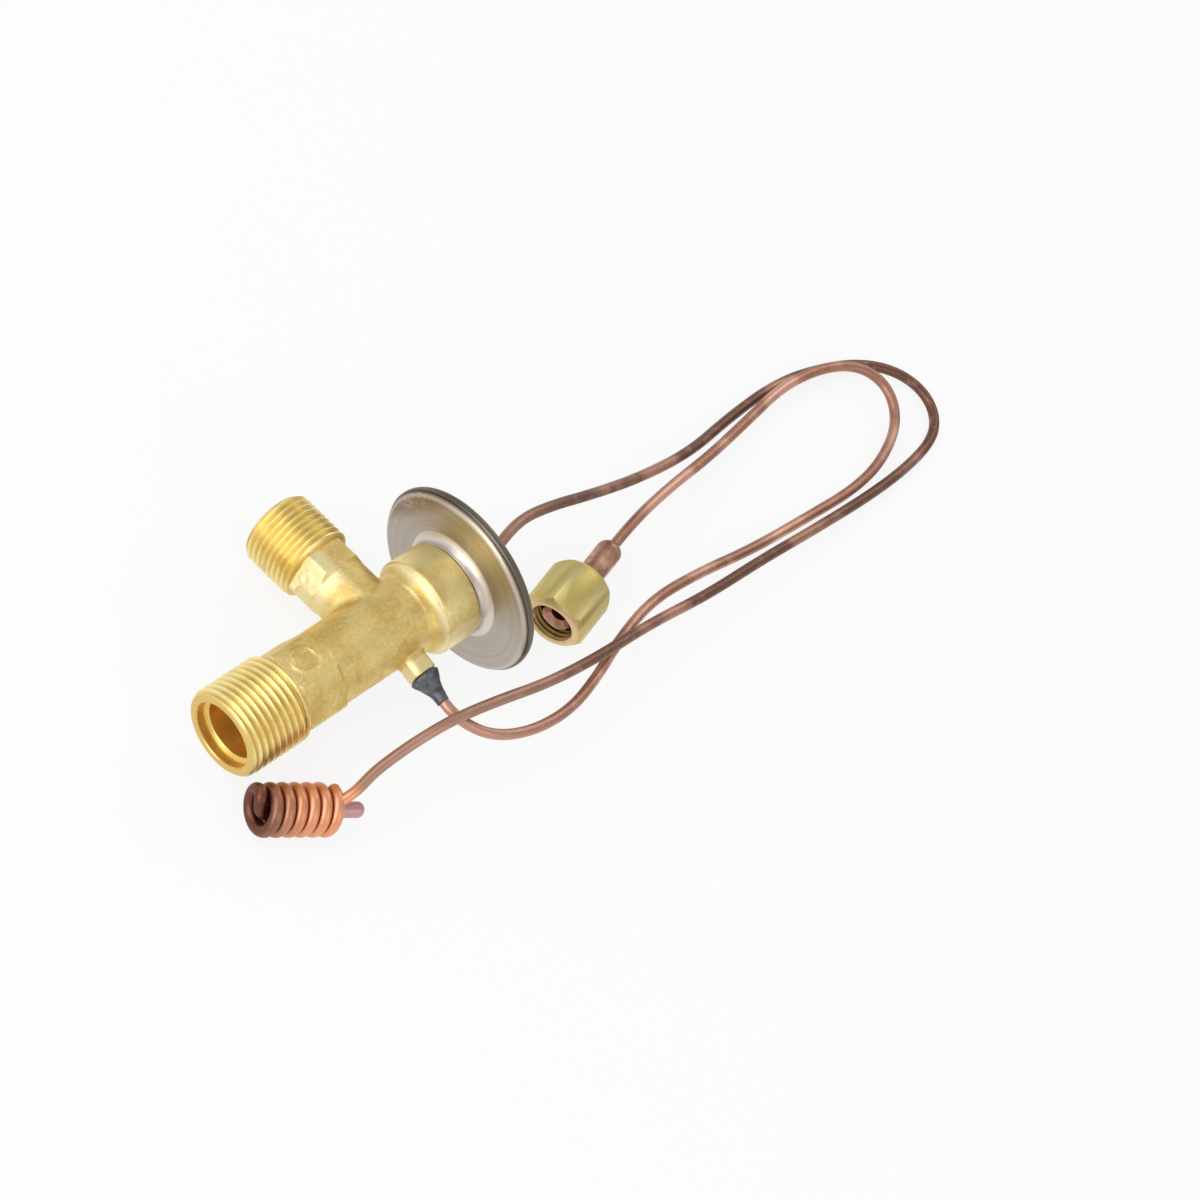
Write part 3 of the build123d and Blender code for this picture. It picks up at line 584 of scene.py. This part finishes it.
def turned(name, profile, place, segments=128):
    """Ring piece from a closed profile of (along, radius); its axis is Z of its place."""
    clear_selection()
    along, radius = profile[0]
    bpy.ops.mesh.primitive_circle_add(vertices=segments, radius=radius * MM, location=(0, 0, along * MM))
    bpy.ops.object.transform_apply(location=True, rotation=False, scale=False)
    piece = bpy.context.active_object
    piece.name = name
    edit_all(piece)
    for (start, inner), (end, outer) in zip(profile, profile[1:] + profile[:1]):
        bpy.ops.mesh.extrude_region_move(TRANSFORM_OT_translate={"value": (0, 0, (end - start) * MM)})
        ratio = outer / inner
        bpy.ops.transform.resize(value=(ratio, ratio, 1), center_override=(0, 0, end * MM))
    bpy.ops.mesh.select_all(action="SELECT")
    bpy.ops.mesh.remove_doubles(threshold=0.001 * MM)
    bpy.ops.mesh.normals_make_consistent(inside=False)
    leave_edit()
    piece.data.transform(place)
    return piece


def groove_outline(crest, depth, pitch, outside=True):
    """Closed outline of one thread groove in (along, radius), with rounded crests and root."""
    half = [(0.49, 0.0), (0.455, 0.03), (0.41, 0.10), (0.355, 0.24), (0.12, 0.90), (0.05, 1.0)]
    inward = -1 if outside else 1
    clear = 0.3
    side = [(0.49 * pitch, crest - inward * clear)]
    side += [(share * pitch, crest + inward * depth * deep) for share, deep in half]
    return [(-along, radius) for along, radius in side] + side[::-1]


def helix_tool(outline, pitch, turns, start, place, steps=72):
    """Solid cutter that runs along a right-hand helix about Z of its place."""
    clear_selection()
    bpy.ops.mesh.primitive_circle_add(vertices=len(outline), radius=MM)
    tool = bpy.context.active_object
    for vertex, (along, radius) in zip(tool.data.vertices, outline):
        vertex.co = (radius * MM, 0, (along + start) * MM)
    modified(
        tool, "SCREW", axis="Z", angle=2 * math.pi, screw_offset=pitch * MM, iterations=turns,
        steps=steps, render_steps=steps, use_merge_vertices=False,
    )
    edit_all(tool)
    bpy.ops.mesh.fill_holes(sides=len(outline))
    bpy.ops.mesh.select_all(action="SELECT")
    bpy.ops.mesh.normals_make_consistent(inside=False)
    leave_edit()
    tool.data.transform(place)
    return tool


def carve(piece, tool):
    """Takes the tool's shape out of the piece and clears the tool away."""
    modified(piece, "BOOLEAN", operation="DIFFERENCE", solver="EXACT", object=tool)
    bpy.data.objects.remove(tool)


def bar(radius, start, end, place):
    """Plain round cutter about Z of its place."""
    clear_selection()
    bpy.ops.mesh.primitive_cylinder_add(
        vertices=96, radius=radius * MM, depth=(end - start) * MM, location=(0, 0, (start + end) / 2 * MM)
    )
    tool = bpy.context.active_object
    bpy.ops.object.transform_apply(location=True, rotation=False, scale=False)
    tool.data.transform(place)
    return tool


def copied(name, node):
    """A merged copy of a CAD node's mesh as a new piece."""
    piece = bpy.data.objects.new(name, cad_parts[node].data.copy())
    bpy.context.scene.collection.objects.link(piece)
    edit_all(piece)
    bpy.ops.mesh.remove_doubles(threshold=0.0005 * MM)
    bpy.ops.mesh.normals_make_consistent(inside=False)
    leave_edit()
    return piece


def weigh(piece, name, share_of):
    """Vertex group whose weight at each point comes from its place in the valve's frame, in millimetres."""
    group = piece.vertex_groups.new(name=name)
    inward = VALVE.inverted()
    for vertex in piece.data.vertices:
        share = share_of(*(inward @ vertex.co / MM))
        if share > 0.01:
            group.add([vertex.index], share, "REPLACE")
    return group.name


def shade(piece, degrees=30):
    work_on(piece)
    bpy.ops.object.shade_smooth_by_angle(angle=math.radians(degrees))


def settle(piece, body, slot, *nodes):
    """Joins a finished piece to its body and hides the CAD nodes it stands for; slot is not used."""
    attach(piece, body)
    if nodes:
        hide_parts(*nodes)


def ramp(value, low, high):
    """0 below low, 1 above high."""
    return min(1.0, max(0.0, (value - low) / (high - low)))


# ---- Operators: the stage and the pieces


class VALVE_OT_stage(bpy.types.Operator):
    """Camera, lights, even sky and the pale ground"""

    bl_idname = "valve.stage"
    bl_label = "Stage"

    def execute(self, context):
        stage = context.scene.valve_stage
        context.scene.view_settings.view_transform = "Standard"
        clear_selection()
        bpy.ops.object.camera_add(location=(-0.8427, -0.1585, 1.0624))
        camera = context.active_object
        right = Vector((0.6383, -0.6005, 0.4816))
        upward = Vector((0.4054, 0.7941, 0.4529))
        backward = right.cross(upward).normalized()
        upward = backward.cross(right).normalized()
        camera.rotation_euler = Matrix((right.normalized(), upward, backward)).transposed().to_euler()
        camera.data.lens = stage.lens
        camera.data.sensor_width = 36
        camera.data.clip_start = 0.05
        context.scene.camera = camera
        aim = Vector((0.01, -0.01, 0.012))
        lamps = [
            ("key_light", (-0.55, 0.55, 0.95), 0.7, stage.key),
            ("fill_light", (-0.1, -1.1, 0.75), 0.9, stage.fill),
            ("back_light", (0.95, 0.25, 0.7), 0.6, stage.rim),
            ("side_light", (-1.2, 0.17, 0.47), 0.8, stage.side),
        ]
        for name, spot, side, power in lamps:
            bpy.ops.object.light_add(type="AREA", location=spot)
            lamp = context.active_object
            lamp.name = name
            lamp.rotation_euler = (aim - Vector(spot)).to_track_quat("-Z", "Y").to_euler()
            lamp.data.shape = "SQUARE"
            lamp.data.size = side
            lamp.data.energy = power
        clear_selection()
        bpy.ops.mesh.primitive_plane_add(size=stage.floor)
        ground = context.active_object
        ground.name = "ground"
        dress(ground, pale_ground())
        self.light_sky(context.scene, stage.sky)
        return {"FINISHED"}

    def light_sky(self, scene, strength):
        world = scene.world or bpy.data.worlds.new("even_sky")
        scene.world = world
        world.use_nodes = True
        tree = world.node_tree
        tree.nodes.clear()
        ending = tree.nodes.new("ShaderNodeOutputWorld")
        glow = tree.nodes.new("ShaderNodeBackground")
        seen = tree.nodes.new("ShaderNodeLightPath")
        level = tree.nodes.new("ShaderNodeMapRange")
        level.inputs["To Min"].default_value = strength
        level.inputs["To Max"].default_value = 1.0
        tree.links.new(seen.outputs["Is Camera Ray"], level.inputs["Value"])
        tree.links.new(level.outputs[0], glow.inputs["Strength"])
        tree.links.new(glow.outputs[0], ending.inputs["Surface"])


def drawn_line(name, points, diameter):
    """One smooth open curve through the given control points, in millimetres, with a round section."""
    curve = bpy.data.curves.new(name, "CURVE")
    curve.dimensions = "3D"
    spline = curve.splines.new("NURBS")
    spline.points.add(len(points) - 1)
    for control, place in zip(spline.points, points):
        control.co = (*(part * MM for part in place), 1)
    spline.order_u = 3
    spline.use_endpoint_u = True
    spline.resolution_u = 8
    curve.bevel_depth = diameter / 2
    curve.bevel_resolution = 7
    curve.use_fill_caps = True
    line = bpy.data.objects.new(name, curve)
    bpy.context.scene.collection.objects.link(line)
    return line


class VALVE_OT_lines(bpy.types.Operator):
    """Charge line with its coil, and the equaliser line"""

    bl_idname = "valve.lines"
    bl_label = "Capillaries and coil"

    def execute(self, context):
        copper = context.scene.valve_copper
        finish = capillary_copper("charge_copper", copper, 0.8)
        charge = drawn_line("charge_capillary", CHARGE_ROUTE + self.placed_on_valve(LINE_END), copper.diameter)
        equaliser = drawn_line("equaliser_capillary", EQUALISER_ROUTE, copper.diameter)
        coil = drawn_line("coil_turns", self.placed_on_valve(self.coil_route(copper)), copper.coil_tube)
        core = bar(copper.core / MM, CORE_START, CORE_END, COIL @ ALONG_X)
        core.name = "coil_core"
        modified(core, "BEVEL", width=1.6 * MM, segments=8, limit_method="ANGLE", angle_limit=math.radians(60))
        for line in (charge, coil, core):
            line.data.materials.append(finish)
        equaliser.data.materials.append(capillary_copper("equaliser_copper", copper, 0.15))
        work_on(coil)
        bpy.ops.object.convert(target="MESH")
        for piece in (coil, core):
            shade(piece, 40)
        settle(charge, "housing", "copper", "charge_line")
        settle(coil, "housing", "copper", "bulb_coil")
        settle(core, "housing", "copper", "coil_tip")
        settle(equaliser, "housing", "copper", "equaliser_line")
        return {"FINISHED"}

    def placed_on_valve(self, points):
        """Points of the coil's own frame where they stand, in millimetres."""
        return [tuple(COIL @ (Vector(point) * MM) / MM) for point in points]

    def coil_route(self, copper):
        """Turns from the bright end to the open end, then across it and back into the core."""
        radius = copper.coil_radius / MM
        pitch = copper.coil_pitch / MM
        per_turn = 16
        points = []
        for step in range(round(per_turn * copper.coil_turns) + 1):
            angle = math.radians(COIL_BEGIN + 360 * step / per_turn)
            points.append((COIL_START - pitch * step / per_turn, -radius * math.sin(angle), radius * math.cos(angle)))
        last = math.radians(COIL_BEGIN + 360 * copper.coil_turns)
        up, across = (-math.sin(last), math.cos(last)), (-math.cos(last), -math.sin(last))
        for along, rise, side in COIL_HOOK:
            points.append((along, rise * up[0] + side * across[0], rise * up[1] + side * across[1]))
        return points


class VALVE_OT_forging(bpy.types.Operator):
    """Forged body: softened copy of the CAD body without its thread ends, with the two ring marks"""

    bl_idname = "valve.forging"
    bl_label = "Forged body"

    def execute(self, context):
        brass = context.scene.valve_brass
        body = copied("body_forging", "valve_body")
        carve(body, bar(14, -2, 16.2, VALVE @ ALONG_X))
        carve(body, bar(13, 22.2, 42, BRANCH))
        modified(body, "REMESH", mode="VOXEL", voxel_size=brass.voxel, use_smooth_shade=True)
        skin = weigh(body, "forged_skin", self.forged_share)
        modified(body, "SMOOTH", factor=0.5, iterations=10, vertex_group=skin)
        corners = weigh(body, "inner_corners", self.corner_share)
        modified(body, "SMOOTH", factor=0.5, iterations=60, vertex_group=corners)
        clouds = bpy.data.textures.new("forging_clouds", "CLOUDS")
        clouds.noise_scale = 3.5 * MM
        modified(
            body, "DISPLACE", texture=clouds, texture_coords="LOCAL", strength=brass.dents, mid_level=0.5,
            vertex_group=skin,
        )
        modified(body, "DECIMATE", ratio=0.55)
        body.vertex_groups.clear()
        self.add_mark(body, VALVE @ shift(23.5, 0.3, 9.45), 3.2, 0.42)
        self.add_mark(body, BRANCH @ spin_about("Z", 210) @ shift(7.75, 0, 19.1) @ spin_about("Y", 90), 1.35, 0.28)
        work_on(body)
        bpy.ops.object.shade_smooth()
        dress(body, forged_brass(brass))
        settle(body, "housing", "forged_brass", "valve_body")
        return {"FINISHED"}

    def forged_share(self, x, y, z):
        """1 on the forged skin, less on the shoulder, 0 on what was turned or drilled."""
        radius = math.hypot(y, z)
        from_branch = math.hypot(x - BRANCH_X, z)
        if radius < 8.0 and (x < 46 or x > 57):
            return 0.0
        if y > 6 and from_branch < 6.9:
            return 0.0
        outside = 1.0 if y > 10 or from_branch > 9 else ramp(radius, 6.0, 8.0)
        return outside * (1 - 0.8 * ramp(x, 54.5, 56.0)) * (1 - ramp(x, 58.2, 59.2))

    def corner_share(self, x, y, z):
        """Strong where the branch's neck meets the barrel."""
        if y < 2:
            return 0.0
        gap = math.hypot(math.hypot(x - BRANCH_X, z) - 7.8, math.hypot(y, z) - 9.45)
        return math.exp(-((gap / 1.5) ** 2))

    def add_mark(self, body, place, radius, thickness):
        """Raised ring, left bare in its middle."""
        clear_selection()
        bpy.ops.mesh.primitive_torus_add(
            major_radius=radius * MM, minor_radius=thickness * MM, major_segments=64, minor_segments=12
        )
        ring = bpy.context.active_object
        edit_all(ring)
        bpy.ops.transform.resize(value=(1, 1, 0.8), center_override=(0, 0, 0))
        leave_edit()
        ring.data.transform(place)
        work_on(body)
        ring.select_set(True)
        bpy.ops.object.join()


class VALVE_OT_threads(bpy.types.Operator):
    """Turned thread ends of the outlet and the inlet, with their helical grooves"""

    bl_idname = "valve.threads"
    bl_label = "Thread ends"

    def execute(self, context):
        brass = context.scene.valve_brass
        outlet_place = VALVE @ ALONG_X
        outlet = turned(
            "outlet_thread_end",
            [
                (17.9, 7.27), (3.1, 7.27), (2.8, 7.55), (2.7, 8.1), (2.7, 8.3), (0.4, 8.3), (0.1, 8.5), (0.0, 8.8),
                (0.0, 9.7), (0.1, 10.05), (0.35, 10.4), (1.2, 11.1), (15.9, 11.1), (16.6, 11.08), (17.1, 10.9),
                (17.5, 10.4), (17.9, 9.4),
            ],
            outlet_place,
        )
        pitch = brass.outlet_pitch / MM
        depth = 0.56 * pitch
        carve(outlet, helix_tool(groove_outline(OUTLET_CREST, depth, pitch), pitch, 11, -1.6, outlet_place))
        inlet = turned(
            "inlet_thread_end",
            [
                (21.4, 6.17), (34.3, 6.17), (34.3, 7.2), (36.5, 7.2), (36.72, 7.4), (36.8, 7.7), (36.8, 8.2),
                (36.7, 8.5), (35.6, 9.5), (23.4, 9.5), (22.9, 9.44), (22.5, 9.1), (22.1, 8.3), (21.4, 7.4),
            ],
            BRANCH,
        )
        pitch = brass.inlet_pitch / MM
        depth = 0.56 * pitch
        carve(inlet, helix_tool(groove_outline(INLET_CREST, depth, pitch), pitch, 10, 22.6, BRANCH))
        for end, name, place, crest, bore, step in (
            (outlet, "outlet_brass", outlet_place, OUTLET_CREST, 8.3, 2.7),
            (inlet, "inlet_brass", BRANCH, INLET_CREST, 7.2, 34.3),
        ):
            shade(end, 32)
            dress(end, cut_brass(name, brass, place, crest - 0.95, crest, bore, step))
            settle(end, "housing", "forged_brass")
        return {"FINISHED"}


class VALVE_OT_nut(bpy.types.Operator):
    """Flare nut with its inner thread, and the tube end in it"""

    bl_idname = "valve.nut"
    bl_label = "Flare nut"

    def execute(self, context):
        brass = context.scene.valve_brass
        nut = copied("threaded_flare_nut", "flare_nut")
        pitch = brass.nut_pitch / MM
        groove = groove_outline(5.0, 0.5, pitch, outside=False)
        carve(nut, helix_tool(groove, pitch, 5, -1.6, NUT @ ALONG_X, 48))
        shade(nut, 28)
        dress(nut, nut_brass(brass))
        settle(nut, "equaliser_nut", "nut_brass", "flare_nut")
        flare = turned(
            "tube_flare", [(6.5, 1.9), (3.7, 2.0), (2.4, 3.3), (2.25, 3.55), (2.45, 3.75), (3.9, 3.17), (6.5, 3.17)],
            NUT @ ALONG_X, 64,
        )
        shade(flare, 35)
        copper = stub_copper(context.scene.valve_copper)
        for piece in (flare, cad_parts["flare_stub"]):
            dress(piece, copper)
        settle(flare, "housing", "copper")
        return {"FINISHED"}


class VALVE_OT_collar(bpy.types.Operator):
    """Solder collar: uneven, drawn down on the capillary"""

    bl_idname = "valve.collar"
    bl_label = "Solder collar"

    def execute(self, context):
        collar = copied("solder_joint", "solder_collar")
        modified(collar, "REMESH", mode="VOXEL", voxel_size=0.16 * MM, use_smooth_shade=True)
        clouds = bpy.data.textures.new("solder_clouds", "CLOUDS")
        clouds.noise_scale = 2.2 * MM
        modified(collar, "DISPLACE", texture=clouds, texture_coords="LOCAL", strength=0.45 * MM, mid_level=0.5)
        modified(collar, "SMOOTH", factor=0.5, iterations=6)
        work_on(collar)
        bpy.ops.object.shade_smooth()
        dress(collar, dull_solder(context.scene.valve_steel))
        settle(collar, "housing", "solder", "solder_collar")
        return {"FINISHED"}


class VALVE_OT_finishes(bpy.types.Operator):
    """Materials of the CAD parts that keep their shape: the case and all that is inside the valve"""

    bl_idname = "valve.finishes"
    bl_label = "Finishes of the case and the inner parts"

    def execute(self, context):
        steel = context.scene.valve_steel
        brass = context.scene.valve_brass
        inner = colour_of(steel.inner)
        warm = colour_of(brass.forged_warm)
        case = case_steel(steel)
        ground_steel = turned_metal("ground_steel", inner, ink(140, 140, 142))
        sheet = turned_metal("sheet_steel", inner, ink(150, 148, 144), 0.22)
        seat = turned_metal("polished_ball", ink(214, 214, 216), ink(180, 180, 184), 0.08)
        cut = turned_metal("inner_brass", colour_of(brass.head), warm, 0.28)
        mesh = woven_mesh(steel)
        ring = turned_metal("ring_brass", colour_of(brass.head), warm, 0.3, BRANCH @ spin_about("Y", -90))
        rubber = soft_part("seal_rubber", ink(34, 34, 36), ink(58, 58, 60), 0.5)
        fibre = soft_part("gasket_fibre", ink(84, 80, 74), ink(120, 114, 104), 0.7)
        finishes = {
            "lower_shell": case, "upper_shell": case, "diaphragm": sheet, "superheat_spring": sheet,
            "head_gasket": fibre, "rod_seal": rubber, "valve_ball": seat, "adjusting_nut": cut, "seal_retainer": cut,
            "strainer_ring": ring, "inlet_strainer": mesh, "diaphragm_pad": ground_steel, "push_rod": ground_steel,
            "ball_cup": ground_steel, "seat_insert": ground_steel,
        }
        for node, material in finishes.items():
            dress(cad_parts[node], material)
        return {"FINISHED"}


class VALVE_OT_cords(bpy.types.Operator):
    """Takes no action; it returns at once."""

    bl_idname = "valve.cords"
    bl_label = "Capillary lengths"

    def execute(self, context):
        return {"FINISHED"}


STEPS = (
    VALVE_OT_stage, VALVE_OT_lines, VALVE_OT_forging, VALVE_OT_threads, VALVE_OT_nut, VALVE_OT_collar,
    VALVE_OT_finishes, VALVE_OT_cords,
)
SETTINGS = {
    "valve_brass": ValveBrassSettings,
    "valve_steel": ValveSteelSettings,
    "valve_copper": ValveCopperSettings,
    "valve_stage": ValveStageSettings,
}


class VALVE_PT_panel(bpy.types.Panel):
    """Steps and settings of the expansion valve"""

    bl_idname = "VALVE_PT_panel"
    bl_label = "Expansion valve"
    bl_space_type = "VIEW_3D"
    bl_region_type = "UI"
    bl_category = "Valve"

    def draw(self, context):
        for step in STEPS:
            self.layout.operator(step.bl_idname)
        for name, group in SETTINGS.items():
            box = self.layout.box()
            settings = getattr(context.scene, name)
            for field in group.__annotations__:
                box.prop(settings, field)


def register():
    for group in SETTINGS.values():
        bpy.utils.register_class(group)
    for name, group in SETTINGS.items():
        setattr(bpy.types.Scene, name, bpy.props.PointerProperty(type=group))
    for step in STEPS:
        bpy.utils.register_class(step)
    bpy.utils.register_class(VALVE_PT_panel)


def unregister():
    bpy.utils.unregister_class(VALVE_PT_panel)
    for step in reversed(STEPS):
        bpy.utils.unregister_class(step)
    for name, group in SETTINGS.items():
        delattr(bpy.types.Scene, name)
        bpy.utils.unregister_class(group)


def main():
    register()
    for step in STEPS:
        group, action = step.bl_idname.split(".")
        getattr(getattr(bpy.ops, group), action)()
    clear_selection()


if __name__ == "__main__":
    main()
